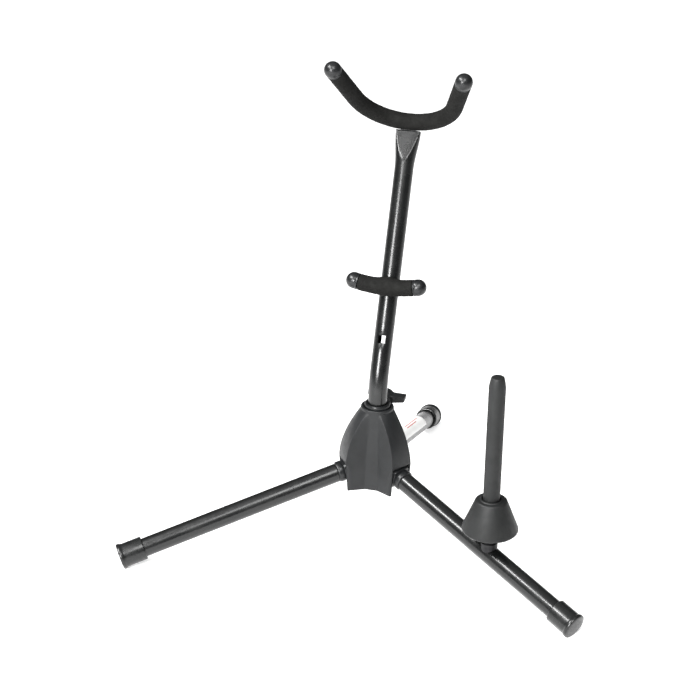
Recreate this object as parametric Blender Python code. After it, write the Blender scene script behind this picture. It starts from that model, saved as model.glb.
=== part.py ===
"""Folding tripod stand for an alto or tenor saxophone, with a screw-on peg for a clarinet or flute.

Metres, +Z up, +Y towards the rear leg, so the two yokes face -Y and +X is on the right seen from the front.
The origin lies on the floor, at the middle of the stand's outer box.
"""
import math

import bmesh
import bpy
from mathutils import Matrix, Vector

MM = 0.001
GAP = 0.3 * MM                      # kept between pieces that touch

# Tripod
HUB_Y = -62.4 * MM                  # hub's vertical axis, from the middle of the outer box
TUBE_R = 9.5 * MM                   # legs and post are the same steel tube
TUBE_WALL = 1.2 * MM
LEG_AZIMUTH = {"left": 210.0, "right": 330.0, "rear": 90.0}
PIN_REACH = 24.4 * MM               # hub axis to a leg's hinge pin
PIN_Z = 84.5 * MM
PIN_R = 3.0 * MM
FOOT_REACH = 264.6 * MM             # hub axis to the middle of a foot cap's end face
FOOT_Z = 11.8 * MM
LEG_SLOPE = math.atan2(PIN_Z - FOOT_Z, FOOT_REACH - PIN_REACH)
LEG_LENGTH = math.hypot(PIN_Z - FOOT_Z, FOOT_REACH - PIN_REACH)
KNUCKLE_R = 10.2 * MM               # end fitting, half height round the pin
RING_R = 10.6 * MM                  # its collar outside the hub
RING_START = 10.5 * MM              # along the leg, from the pin
RING_LENGTH = 6.3 * MM
CAP_R = 12.0 * MM
CAP_LIP_R = 13.1 * MM
CAP_LENGTH = 26.0 * MM

# Hub
HUB_BOTTOM = 64.5 * MM
ROOF_EDGE_Z = 94.0 * MM             # lower edge of each pocket's roof
RIDGE_TOP_Z = 148.0 * MM
HUB_TOP = 151.0 * MM
POCKET_HALF = 11.3 * MM             # half width of a leg's pocket
POCKET_BACK = 13.3 * MM             # hub axis to the pocket's inner wall
CORE_R = 10.2 * MM                  # hollow below the bush
BUSH_R = 12.0 * MM
BUSH_BOTTOM = 104.5 * MM
BUSH_FLANGE_R = 13.0 * MM
BUSH_TOP = 154.4 * MM
CLAMP_Z = 144.0 * MM                # axis of the clamp screw
CLAMP_BOSS_R = 6.8 * MM
CLAMP_BOSS_END = 29.0 * MM          # along +Y, from the hub axis
CLAMP_TURN = math.radians(7.0)      # how the wing knob was left

# Post: upright in the hub, then leaning back
POST_BOTTOM = 108.0 * MM
LEAN = math.radians(24.0)
BEND_Z = 174.1 * MM                 # where the two straight axes cross
BEND_R = 77.0 * MM
FLAT_START = 216.0 * MM             # along the leaning axis, from the crossing
FLAT_END = 254.0 * MM
FLAT_HALF_WIDTH = 12.7 * MM
FLAT_HALF_DEPTH = 3.6 * MM
SPARE_HOLE_AT = 45.0 * MM
LOWER_YOKE_AT = 96.9 * MM
SQUARE_HOLE = 8.0 * MM
UPPER_YOKE_AT = 262.9 * MM

# Yokes
ROD_R = 4.0 * MM
SLEEVE_R = 8.5 * MM
UPPER_ARC_R = 52.0 * MM
UPPER_SPLAY = math.radians(16.7)    # arms open outwards by this much
UPPER_ARM = 51.0 * MM
UPPER_TILT = math.radians(42.0)     # the U leans forward from upright
LOWER_ROD_R = 3.5 * MM
LOWER_SLEEVE_R = 8.3 * MM
LOWER_HALF = 32.5 * MM              # middle to the centre of an end cap's dome
LOWER_AHEAD = 18.4 * MM             # in front of the post's axis
LOWER_SAG = 3.2 * MM
STUD = 7.4 * MM                     # square plug in the post's hole
END_SKIRT = 5.0 * MM

# Peg on the right leg
PEG_REACH = 154.1 * MM              # hub axis to the peg's axis
PEG_TOP = 236.0 * MM
PEG_ROD_R = 8.25 * MM
CONE_R = 27.7 * MM
CONE_TOP_R = 16.0 * MM
CONE_BOTTOM = 71.5 * MM
CONE_TOP = 106.5 * MM
STUD_R = 3.0 * MM


def circle(radius, height=0.0, steps=24):
    """Points of a circle about Z."""
    turn = 2 * math.pi / steps
    return [Vector((radius * math.cos(turn * i), radius * math.sin(turn * i), height)) for i in range(steps)]


def skin(rings, loop=False):
    """Closed bmesh over neighbouring rings; a ring of one point is a tip, and open ends are filled."""
    bm = bmesh.new()
    rows = [[bm.verts.new(point) for point in ring] for ring in rings]
    pairs = list(zip(rows, rows[1:]))
    if loop:
        pairs.append((rows[-1], rows[0]))
    for first, second in pairs:
        count = max(len(first), len(second))
        for i in range(count):
            j = (i + 1) % count
            corners = [first[i % len(first)], first[j % len(first)],
                       second[j % len(second)], second[i % len(second)]]
            bm.faces.new(list(dict.fromkeys(corners)))
    if not loop:
        for row in (rows[0], rows[-1]):
            if len(row) > 2:
                bm.faces.new(row)
    bmesh.ops.triangulate(bm, faces=bm.faces)
    bmesh.ops.recalc_face_normals(bm, faces=bm.faces)
    return bm


def turned(profile, steps=24):
    """Solid of revolution about Z from (radius, z) points; it loops unless it starts on the axis."""
    rings = []
    for radius, height in profile:
        rings.append([Vector((0, 0, height))] if radius == 0 else circle(radius, height, steps))
    return skin(rings, loop=profile[0][0] > 0)


def extruded(outline, low, high):
    """Prism from an (x, y) outline, between two heights."""
    return skin([[Vector((x, y, z)) for x, y in outline] for z in (low, high)])


def box(size, centre=(0, 0, 0)):
    """Closed box of the given size."""
    bm = bmesh.new()
    bmesh.ops.create_cube(bm, size=1.0)
    bmesh.ops.scale(bm, vec=size, verts=bm.verts)
    bmesh.ops.translate(bm, vec=centre, verts=bm.verts)
    return bm


def rounded(start, end, radius, steps=4, sweep=(0.0, 90.0)):
    """Arc points (radius, z) round a centre; start and end are the centre's two coordinates."""
    low, high = (math.radians(angle) for angle in sweep)
    return [(start + radius * math.cos(low + (high - low) * i / steps),
             end + radius * math.sin(low + (high - low) * i / steps)) for i in range(steps + 1)]


def material(name, colour, roughness, metallic=0.0):
    """Principled material."""
    made = bpy.data.materials.new(name)
    made.use_nodes = True
    shader = made.node_tree.nodes["Principled BSDF"]
    shader.inputs["Base Color"].default_value = (*colour, 1.0)
    shader.inputs["Roughness"].default_value = roughness
    shader.inputs["Metallic"].default_value = metallic
    return made


def empty(name, location, rotation=(0, 0, 0), parent=None):
    """Empty that carries pieces; its origin is on their axis."""
    made = bpy.data.objects.new(name, None)
    bpy.context.collection.objects.link(made)
    made.location = location
    made.rotation_euler = rotation
    made.parent = parent
    return made


def add(name, bm, paint, parent=None, location=(0, 0, 0), rotation=(0, 0, 0), crease=35.0):
    """Object from a bmesh, smooth except across sharp edges."""
    mesh = bpy.data.meshes.new(name)
    bm.to_mesh(mesh)
    bm.free()
    mesh.shade_smooth()
    mesh.set_sharp_from_angle(angle=math.radians(crease))
    if paint:
        mesh.materials.append(paint)
    made = bpy.data.objects.new(name, mesh)
    bpy.context.collection.objects.link(made)
    made.parent = parent
    made.location = location
    made.rotation_euler = rotation
    return made


def combine(target, bm, operation, parent=None, location=(0, 0, 0), rotation=(0, 0, 0)):
    """Cut a helper shape out of the target, or join it on."""
    count = len(target.modifiers) + 1
    helper = add(f"{target.name}_{operation.lower()}_{count}", bm, None, parent, location, rotation)
    helper.hide_render = True
    helper.display_type = "WIRE"
    modifier = target.modifiers.new(f"{operation.lower()} {count}", "BOOLEAN")
    modifier.operation = operation
    modifier.solver = "MANIFOLD"
    modifier.object = helper


def cut(target, bm, parent=None, location=(0, 0, 0), rotation=(0, 0, 0)):
    combine(target, bm, "DIFFERENCE", parent, location, rotation)


def join(target, bm, parent=None, location=(0, 0, 0), rotation=(0, 0, 0)):
    combine(target, bm, "UNION", parent, location, rotation)


def hub_level(height):
    """Plan outline of the hub: three roof panels with ridge corners, and a flat web between each two."""
    up = min(max((height - ROOF_EDGE_Z) / (RIDGE_TOP_Z - ROOF_EDGE_Z), 0.0), 1.0)
    down = min(max((ROOF_EDGE_Z - height) / (ROOF_EDGE_Z - HUB_BOTTOM), 0.0), 1.0)
    reach = (13.3 + 22.1 * (1 - up ** 1.89) - 2.4 * down) * MM
    half = (13.6 - 3.5 * up) * MM
    bulge = (0.6 + 2.8 * up ** 2) * MM
    web = Vector(((20.0 - 4.0 * up) * MM, (6.3 - 2.3 * up) * MM))
    points = []
    for azimuth in LEG_AZIMUTH.values():
        turn = Matrix.Rotation(math.radians(azimuth), 2)
        for side in (-1.0, -0.5, 0.0, 0.5, 1.0):
            points.append(turn @ Vector((reach + bulge * (1 - side * side), half * side)))
        turn = Matrix.Rotation(math.radians(azimuth + 60.0), 2)
        points += [turn @ Vector((web.x, -web.y)), turn @ Vector((web.x, web.y))]
    return [Vector((point.x, point.y, height)) for point in points]


def pocket():
    """Room for one leg's end, in the plane of the leg: open in front and below, roofed above the fitting."""
    slope = math.tan(LEG_SLOPE)
    roof = (KNUCKLE_R + GAP) / math.cos(LEG_SLOPE)
    far = 60.0 * MM
    outline = [(POCKET_BACK, HUB_BOTTOM - 6 * MM), (far, HUB_BOTTOM - 6 * MM),
               (far, PIN_Z - slope * (far - PIN_REACH) + roof)]
    clear = KNUCKLE_R + 0.5 * MM
    for angle in (73, 95, 115, 135, 155):
        turn = math.radians(angle)
        outline.append((PIN_REACH + clear * math.cos(turn), PIN_Z + clear * math.sin(turn)))
    outline.append((POCKET_BACK, PIN_Z))
    rings = [[Vector((x, side, z)) for x, z in outline] for side in (-POCKET_HALF, POCKET_HALF)]
    return skin(rings)


def make_hub(hub, plastic, steel):
    """Moulded hub, its base plate with three screws, and the hinge pins of the legs."""
    rows = [HUB_BOTTOM, ROOF_EDGE_Z]
    rows += [ROOF_EDGE_Z + (RIDGE_TOP_Z - ROOF_EDGE_Z) * i / 8 for i in range(1, 9)] + [HUB_TOP]
    shell = add("hub_shell", skin([hub_level(row) for row in rows]), plastic, hub)
    join(shell, turned([(0, 12 * MM), (CLAMP_BOSS_R, 12 * MM), (CLAMP_BOSS_R, CLAMP_BOSS_END - 0.4 * MM),
                        (CLAMP_BOSS_R - 0.4 * MM, CLAMP_BOSS_END), (0, CLAMP_BOSS_END)]),
         hub, (0, 0, CLAMP_Z), (math.radians(-90), math.radians(5), 0))
    bush_hole = BUSH_R + 0.45 * MM
    seat = BUSH_TOP - 5.7 * MM
    cut(shell, turned([(0, HUB_BOTTOM - 2 * MM), (CORE_R, HUB_BOTTOM - 2 * MM),
                       (CORE_R, BUSH_BOTTOM - GAP), (bush_hole, BUSH_BOTTOM - GAP), (bush_hole, seat),
                       (BUSH_FLANGE_R + 0.45 * MM, seat), (BUSH_FLANGE_R + 0.45 * MM, HUB_TOP - 1 * MM),
                       (BUSH_FLANGE_R + 2.5 * MM, HUB_TOP + 1 * MM), (0, HUB_TOP + 1 * MM)], 32), hub)
    for azimuth in LEG_AZIMUTH.values():
        cut(shell, pocket(), hub, (0, 0, 0), (0, 0, math.radians(azimuth)))
    plate_low, plate_high = HUB_BOTTOM + 1.6 * MM, HUB_BOTTOM + 4.0 * MM
    cut(shell, plate_shape(HUB_BOTTOM - 2 * MM, plate_high + GAP, GAP), hub)
    plate = add("hub_base_plate", plate_shape(plate_low, plate_high, 0.0), plastic, hub)
    for index, azimuth in enumerate(LEG_AZIMUTH.values(), 1):
        turn = math.radians(azimuth + 60.0)
        spot = (15.0 * MM * math.cos(turn), 15.0 * MM * math.sin(turn), 0)
        cut(shell, turned([(0, plate_low), (1.8 * MM, plate_low), (1.8 * MM, 81.5 * MM), (0, 81.5 * MM)], 12),
            hub, spot)
        cut(plate, turned([(0, plate_low - 1 * MM), (1.8 * MM, plate_low - 1 * MM),
                           (1.8 * MM, plate_high + 1 * MM), (0, plate_high + 1 * MM)], 12), hub, spot)
        add(f"base_plate_screw_{index}",
            turned([(0, plate_low - 1.5 * MM), (2.2 * MM, plate_low - 1.5 * MM), (2.8 * MM, plate_low - 1 * MM),
                    (2.8 * MM, plate_low - GAP), (1.5 * MM, plate_low - GAP), (1.5 * MM, 80 * MM),
                    (0, 81 * MM)], 12), steel, hub, spot)
    clamp_hole = 3.3 * MM
    beyond = CLAMP_BOSS_END + 1.5 * MM
    cut(shell, turned([(0, 8 * MM), (clamp_hole, 8 * MM), (clamp_hole, beyond), (0, beyond)], 16),
        hub, (0, 0, CLAMP_Z), (math.radians(-90), 0, 0))
    cut(shell, turned([(0, CLAMP_BOSS_END - 4.9 * MM), (6.1 * MM, CLAMP_BOSS_END - 4.9 * MM),
                       (6.1 * MM, beyond), (0, beyond)], 6),
        hub, (0, 0, CLAMP_Z), (math.radians(-90), 0, 0))
    nut = [(clamp_hole, CLAMP_BOSS_END - 4.6 * MM), (5.7 * MM, CLAMP_BOSS_END - 4.6 * MM),
           (5.7 * MM, CLAMP_BOSS_END), (clamp_hole, CLAMP_BOSS_END)]
    add("clamp_nut", nut_shape(nut), steel, hub, (0, 0, CLAMP_Z), (math.radians(-90), 0, 0))
    for side, azimuth in LEG_AZIMUTH.items():
        turn = math.radians(azimuth)
        spot = (PIN_REACH * math.cos(turn), PIN_REACH * math.sin(turn), PIN_Z)
        level = (math.radians(90), 0, turn)
        half = POCKET_HALF + 1.1 * MM
        cut(shell, turned([(0, -half - GAP), (PIN_R + GAP, -half - GAP), (PIN_R + GAP, half + GAP),
                           (0, half + GAP)], 16), hub, spot, level)
        add(f"leg_pin_{side}", turned([(0, -half), (PIN_R, -half), (PIN_R, half), (0, half)], 16),
            steel, hub, spot, level)


def nut_shape(profile):
    """Hexagon nut with a round hole: the inner rings have twelve sides, the outer ones show six."""
    rings = []
    for radius, height in profile:
        points = circle(radius, height, 12)
        if radius > 4 * MM:
            for i in range(1, 12, 2):
                points[i] *= math.cos(math.pi / 6)
                points[i].z = height
        rings.append(points)
    return skin(rings, loop=True)


def plate_shape(low, high, grow):
    """Three-armed plate between two heights: a disc with an arm under each web."""
    disc, half, reach = 11.8 * MM + grow, 3.6 * MM + grow, 18.2 * MM + grow
    meet = math.asin(half / disc)
    outline = []
    for azimuth in LEG_AZIMUTH.values():
        turn = math.radians(azimuth)
        first, last = turn - math.radians(60) + meet, turn + math.radians(60) - meet
        outline += [(disc * math.cos(first + (last - first) * i / 6),
                     disc * math.sin(first + (last - first) * i / 6)) for i in range(7)]
        arm = turn + math.radians(60)
        for side in (-1, 1):
            for cut_in, out in ((1.0, reach - 2 * MM), (0.5, reach)) if side < 0 else (
                    (0.5, reach), (1.0, reach - 2 * MM)):
                across = side * half * cut_in
                outline.append((out * math.cos(arm) - across * math.sin(arm),
                                out * math.sin(arm) + across * math.cos(arm)))
    return extruded(outline, low, high)


def make_bush(swivel, gloss):
    """Split bush that the screw squeezes onto the post; a flange shows above the hub."""
    inner, seat = TUBE_R + 0.35 * MM, BUSH_TOP - 5.4 * MM
    profile = [(0, BUSH_BOTTOM), (BUSH_R, BUSH_BOTTOM), (BUSH_R, seat), (BUSH_FLANGE_R, seat),
               (BUSH_FLANGE_R, BUSH_TOP - 1.2 * MM), (BUSH_FLANGE_R - 1 * MM, BUSH_TOP),
               (inner + 0.8 * MM, BUSH_TOP), (inner, BUSH_TOP - 0.8 * MM),
               (inner, POST_BOTTOM - GAP), (0, POST_BOTTOM - GAP)]
    bush = add("post_bush", turned(profile, 32), gloss, swivel)
    cut(bush, box((2 * MM, 8 * MM, 50 * MM), (0, 12 * MM, 132 * MM)), swivel, (0, 0, 0),
        (0, 0, math.radians(45)))


def post_frame(along):
    """Point on the post's axis and its direction; along runs up from the bottom end."""
    half_bend = BEND_R * math.tan(LEAN / 2)
    upright = BEND_Z - half_bend - POST_BOTTOM
    if along <= upright:
        return Vector((0, 0, POST_BOTTOM + along)), 0.0
    turned_by = (along - upright) / BEND_R
    if turned_by < LEAN:
        start = Vector((0, BEND_R, BEND_Z - half_bend))
        return start + Vector((0, -BEND_R * math.cos(turned_by), BEND_R * math.sin(turned_by))), turned_by
    rest = half_bend + along - upright - LEAN * BEND_R
    return Vector((0, rest * math.sin(LEAN), BEND_Z + rest * math.cos(LEAN))), LEAN


def post_ring(along, half_width, half_depth, steps=24):
    """Oval ring square to the post's axis; it gets boxier as it flattens."""
    centre, lean = post_frame(along)
    power = 2.0 / (2.0 + 1.2 * (half_width / half_depth - 1) / 2.5)
    back = Vector((0, math.cos(lean), -math.sin(lean)))
    ring = []
    for i in range(steps):
        turn = 2 * math.pi * i / steps
        across, deep = math.cos(turn), math.sin(turn)
        ring.append(centre + Vector((math.copysign(abs(across) ** power, across) * half_width, 0, 0))
                    + back * math.copysign(abs(deep) ** power, deep) * half_depth)
    return ring


def make_post(swivel, lean_frame, paint):
    """Bent tube: open at the bottom, flattened at the top, with a tongue under the upper yoke's rod."""
    half_bend = BEND_R * math.tan(LEAN / 2)
    bend_from = BEND_Z - half_bend - POST_BOTTOM
    bend_to = bend_from + LEAN * BEND_R
    offset = bend_to - half_bend
    stations = [0.0] + [bend_from + (bend_to - bend_from) * i / 6 for i in range(7)]
    flat = [i / 5 for i in range(6)]
    inner_r = TUBE_R - TUBE_WALL
    outside = [post_ring(at, TUBE_R, TUBE_R) for at in stations]
    inside = [post_ring(at, inner_r, inner_r) for at in stations]
    for share in flat:
        ease = share * share * (3 - 2 * share)
        wide = TUBE_R + (FLAT_HALF_WIDTH - TUBE_R) * ease
        deep = TUBE_R + (FLAT_HALF_DEPTH - TUBE_R) * ease
        outside.append(post_ring(offset + FLAT_START + (FLAT_END - FLAT_START) * share, wide, deep))
    inside.append(post_ring(offset + FLAT_START, inner_r, inner_r))
    inside.append(post_ring(offset + FLAT_START + 10 * MM, inner_r, inner_r - 2.6 * MM))
    post = add("post_tube", skin(inside[::-1] + outside), paint, swivel)
    tongue = UPPER_YOKE_AT - ROD_R - GAP
    join(post, box((15 * MM, 5 * MM, tongue - FLAT_END + 4 * MM), (0, 0, (tongue + FLAT_END - 4 * MM) / 2)),
         lean_frame)
    for at in (SPARE_HOLE_AT, LOWER_YOKE_AT):
        cut(post, box((SQUARE_HOLE, 26 * MM, SQUARE_HOLE), (0, 0, at)), lean_frame)


def bar(path, radius, steps=12, hollow=None):
    """Round bar along a path in the XZ plane, or a sleeve if a hollow radius is given."""
    ends = [path[0]] + path + [path[-1]]
    frames = []
    for before, here, after in zip(ends, path, ends[2:]):
        along = (after - before).normalized()
        frames.append((here, along.cross(Vector((0, 1, 0))).normalized()))

    def rings(size):
        made = []
        for index, (here, side) in enumerate(frames):
            wide = size(index) if callable(size) else (size, size, size)
            ring = []
            for i in range(steps):
                turn = 2 * math.pi * i / steps
                lift = wide[1] if math.cos(turn) > 0 else wide[2]
                ring.append(here + side * lift * math.cos(turn) + Vector((0, wide[0] * math.sin(turn), 0)))
            made.append(ring)
        return made

    if hollow is None:
        return skin(rings(radius))
    return skin(rings(radius) + rings(hollow)[::-1], loop=True)


def end_cap(radius, rod_radius, skirt=END_SKIRT, steps=16):
    """Round end cap on a yoke's rod: a short skirt and a dome, with a blind hole for the rod."""
    hole, depth = rod_radius + GAP, 1.0 * MM
    dome = rounded(0, 0, radius, 4)[:-1]
    return turned([(0, depth), (hole, depth), (hole, -skirt), (radius, -skirt)] + dome + [(0, radius)], steps)


def upper_path(inset):
    """Axis of the upper yoke, as a U in the XZ plane, ending short of the dome centres by the inset."""
    quarter = math.pi / 2 - UPPER_SPLAY
    right = [Vector((UPPER_ARC_R * math.sin(quarter * i / 7), 0, UPPER_ARC_R * (1 - math.cos(quarter * i / 7))))
             for i in range(8)]
    arm = Vector((math.sin(UPPER_SPLAY), 0, math.cos(UPPER_SPLAY)))
    tip = right[-1] + arm * (UPPER_ARM - inset)
    right.append(tip)
    left = [Vector((-point.x, 0, point.z)) for point in right[:0:-1]]
    return left + right


def make_upper_yoke(frame, lean_frame, steel, foam, gloss):
    """U-shaped rod welded on the post's tongue, in a soft sleeve, with a round cap on each end."""
    add("upper_yoke_rod", bar(upper_path(0.0), ROD_R, 10), steel, frame)
    sleeve = add("upper_yoke_sleeve",
                 bar(upper_path(END_SKIRT + GAP), SLEEVE_R, 16, ROD_R + GAP), foam, frame)
    cut(sleeve, box((15.8 * MM, 5.8 * MM, 12 * MM), (0, 0, UPPER_YOKE_AT - 8 * MM)), lean_frame)
    tip = upper_path(0.0)[-1]
    for side, sign in (("left", -1), ("right", 1)):
        add(f"upper_yoke_cap_{side}", end_cap(SLEEVE_R, ROD_R), gloss, frame,
            (sign * tip.x, 0, tip.z), (0, sign * UPPER_SPLAY, 0))


def lower_path(reach):
    """Axis of the lower yoke, a shallow U."""
    return [Vector((reach * i / 5, 0, LOWER_SAG * (i / 5) ** 2)) for i in range(-5, 6)]


def make_lower_yoke(frame, steel, foam, gloss):
    """Short padded bar with a square plug that goes through the post."""
    ahead = (0, -LOWER_AHEAD, 0)
    rod = add("lower_yoke_rod", bar(lower_path(LOWER_HALF), LOWER_ROD_R, 10), steel, frame, ahead)
    plug = LOWER_AHEAD + TUBE_R + 1.5 * MM
    join(rod, box((STUD, plug, STUD), (0, plug / 2 - LOWER_AHEAD, 0)), frame)
    reach = LOWER_HALF - END_SKIRT - GAP

    def padding(index):
        middle = math.exp(-((index - 5) / 1.6) ** 2)
        return LOWER_SLEEVE_R, LOWER_SLEEVE_R + 0.6 * MM * middle, LOWER_SLEEVE_R + 2.0 * MM * middle

    path = [Vector((reach * i / 5, 0, LOWER_SAG * (reach * i / 5 / LOWER_HALF) ** 2)) for i in range(-5, 6)]
    sleeve = add("lower_yoke_sleeve", bar(path, padding, 16, LOWER_ROD_R + GAP), foam, frame, ahead)
    cut(sleeve, box((STUD + 2 * GAP, 12 * MM, STUD + 2 * GAP), (0, 6 * MM - LOWER_AHEAD, 0)), frame)
    rise = math.atan2(2 * LOWER_SAG, LOWER_HALF)
    for side, sign in (("left", -1), ("right", 1)):
        add(f"lower_yoke_cap_{side}", end_cap(LOWER_SLEEVE_R, LOWER_ROD_R), gloss, frame,
            (sign * LOWER_HALF, -LOWER_AHEAD, LOWER_SAG), (0, sign * (math.pi / 2 - rise), 0))


def make_clamp(clamp, steel, plastic):
    """Wing screw behind the hub's neck; its tip presses the bush onto the post."""
    start = CLAMP_BOSS_END + 1 * MM
    shank, tip = start + 7.5 * MM, BUSH_R + 0.4 * MM
    add("clamp_screw", turned([(0, tip), (2.2 * MM, tip), (3.0 * MM, tip + 0.8 * MM), (3.0 * MM, shank),
                               (0, shank)], 16), steel, clamp)
    knob = add("clamp_knob", turned([(0, start), (7 * MM, start), (7 * MM, start + 11.5 * MM),
                                     (6 * MM, start + 12.5 * MM), (0, start + 12.5 * MM)], 20), plastic, clamp)
    half, inner, out = 19.5 * MM, start + 0.5 * MM, start + 15.5 * MM
    wing = [(-half, out), (-half, out - 9 * MM), (-9 * MM, inner), (9 * MM, inner), (half, out - 9 * MM),
            (half, out), (7 * MM, out - 2.5 * MM), (-7 * MM, out - 2.5 * MM)]
    rings = [[Vector((x, y, z)) for x, z in wing] for y in (-3.3 * MM, 3.3 * MM)]
    join(knob, skin(rings), clamp)
    cut(knob, turned([(0, start - 1 * MM), (3.3 * MM, start - 1 * MM), (3.3 * MM, shank + GAP),
                      (0, shank + GAP)], 16), clamp)


def make_leg(side, leg, paint, plastic, rubber):
    """Leg tube with a moulded end fitting on its pin and a flared foot cap; +X runs down the leg."""
    along = (0, math.radians(90), 0)
    ring_end = RING_START + RING_LENGTH
    half = KNUCKLE_R
    outline = [(RING_START + 1 * MM, -KNUCKLE_R), (RING_START + 1 * MM, KNUCKLE_R)]
    outline += [(KNUCKLE_R * math.cos(math.radians(90 + 18 * i)), KNUCKLE_R * math.sin(math.radians(90 + 18 * i)))
                for i in range(11)]
    eye = skin([[Vector((x, y, z)) for x, z in outline] for y in (-half, half)])
    bmesh.ops.bevel(eye, geom=[edge for edge in eye.edges if abs(edge.verts[0].co.y - edge.verts[1].co.y) < MM],
                    offset=1.2 * MM, segments=1, affect="EDGES")
    knuckle = add(f"leg_knuckle_{side}", eye, plastic, leg)
    spigot = TUBE_R - TUBE_WALL - GAP
    join(knuckle, turned([(0, RING_START), (RING_R - 0.8 * MM, RING_START), (RING_R, RING_START + 0.8 * MM),
                          (RING_R, ring_end - 0.8 * MM), (RING_R - 0.8 * MM, ring_end), (spigot, ring_end),
                          (spigot, ring_end + 26 * MM), (spigot - 1 * MM, ring_end + 27 * MM),
                          (0, ring_end + 27 * MM)]), leg, (0, 0, 0), along)
    cut(knuckle, turned([(0, -12 * MM), (PIN_R + GAP, -12 * MM), (PIN_R + GAP, 12 * MM), (0, 12 * MM)], 16),
        leg, (0, 0, 0), (math.radians(90), 0, 0))
    low, high = ring_end + GAP, LEG_LENGTH - 4 * MM
    inner = TUBE_R - TUBE_WALL
    tube = add(f"leg_tube_{side}", turned([(TUBE_R, low), (TUBE_R, high), (inner, high), (inner, low)]),
               paint, leg, (0, 0, 0), along)
    mouth, end = LEG_LENGTH - CAP_LENGTH, LEG_LENGTH
    hole = TUBE_R + GAP
    cap = add(f"foot_cap_{side}",
              turned([(0, end - 3.6 * MM), (hole, end - 3.6 * MM), (hole, mouth), (CAP_R - 0.6 * MM, mouth),
                      (CAP_R, mouth + 0.8 * MM), (CAP_R, end - 4.5 * MM), (CAP_LIP_R, end - 3.2 * MM),
                      (CAP_LIP_R, end - 0.9 * MM), (CAP_LIP_R - 0.9 * MM, end), (0, end + 0.5 * MM)]),
              rubber, leg, (0, 0, 0), along)
    below = box((60 * MM, 40 * MM, 20 * MM), (LEG_LENGTH * math.cos(LEG_SLOPE), 0, -PIN_Z - 10 * MM))
    cut(cap, below, leg, (0, 0, 0), (0, -LEG_SLOPE, 0))
    return tube


def make_label(leg, white):
    """Plain paper label wrapped over the top of the rear leg."""
    arc = [math.radians(12 + 12 * i) for i in range(14)]
    rings = []
    for x in (72 * MM, 180 * MM):
        outer = [Vector((x, (TUBE_R + 0.5 * MM) * math.cos(a), (TUBE_R + 0.5 * MM) * math.sin(a))) for a in arc]
        inner = [Vector((x, (TUBE_R + GAP) * math.cos(a), (TUBE_R + GAP) * math.sin(a))) for a in arc]
        rings.append(outer + inner[::-1])
    add("leg_label", skin(rings), white, leg)


def make_peg(peg, leg_axis_z, leg_tube, leg, steel, plastic, dark):
    """Screw-on peg: stud and saddle on the leg, then a nut, a cone and an upright rod."""
    wall = 11.0 * MM
    saddle = add("peg_saddle", turned([(3.3 * MM, -4 * MM), (8.5 * MM, -4 * MM), (8.5 * MM, 13.2 * MM),
                                       (7.7 * MM, 14 * MM), (3.3 * MM, 14 * MM)]),
                 dark, peg, (0, 0, leg_axis_z))
    cut(saddle, turned([(0, 80 * MM), (TUBE_R + GAP, 80 * MM), (TUBE_R + GAP, 200 * MM), (0, 200 * MM)]), leg,
        (0, 0, 0), (0, math.radians(90), 0))
    hole = STUD_R + GAP
    cut(leg_tube, turned([(0, 0), (hole, 0), (hole, 20 * MM), (0, 20 * MM)], 16), peg, (0, 0, leg_axis_z))
    stud_top = 116 * MM
    add("peg_stud", turned([(0, leg_axis_z + 2 * MM), (4.5 * MM, leg_axis_z + 2 * MM),
                            (4.5 * MM, leg_axis_z + 4 * MM), (STUD_R, leg_axis_z + 4 * MM),
                            (STUD_R, stud_top - 0.8 * MM), (STUD_R - 0.8 * MM, stud_top), (0, stud_top)], 16),
        steel, peg)
    nut_low = leg_axis_z + 14.3 * MM
    nut_high = nut_low + 5 * MM
    add("peg_nut", nut_shape([(hole, nut_low), (7.4 * MM, nut_low), (7.4 * MM, nut_high), (hole, nut_high)]),
        steel, peg)
    neck, neck_low = 6.8 * MM, nut_high + GAP
    socket, seat = PEG_ROD_R + GAP, 95 * MM
    cone = [(hole, neck_low), (neck, neck_low), (neck, CONE_BOTTOM + wall), (CONE_TOP_R, CONE_BOTTOM + wall),
            (CONE_R - 4.5 * MM, CONE_BOTTOM + 1.0 * MM)]
    cone += rounded(CONE_R - 2.6 * MM, CONE_BOTTOM + 2.6 * MM, 2.6 * MM, 4, (-90, 15))
    cone += rounded(CONE_TOP_R - 2.5 * MM, CONE_TOP - 2.5 * MM, 2.5 * MM, 3, (20, 90))
    cone += [(socket + 1.2 * MM, CONE_TOP), (socket, CONE_TOP - 1.2 * MM), (socket, seat), (hole, seat)]
    add("peg_cone", turned(cone, 28), plastic, peg)
    add("peg_rod", turned([(0, stud_top + GAP), (hole, stud_top + GAP), (hole, seat + GAP),
                           (PEG_ROD_R, seat + GAP), (PEG_ROD_R, PEG_TOP - 10 * MM), (7.4 * MM, PEG_TOP - 5 * MM),
                           (6.0 * MM, PEG_TOP - 0.8 * MM), (5.2 * MM, PEG_TOP), (0, PEG_TOP)]), plastic, peg)


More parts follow.
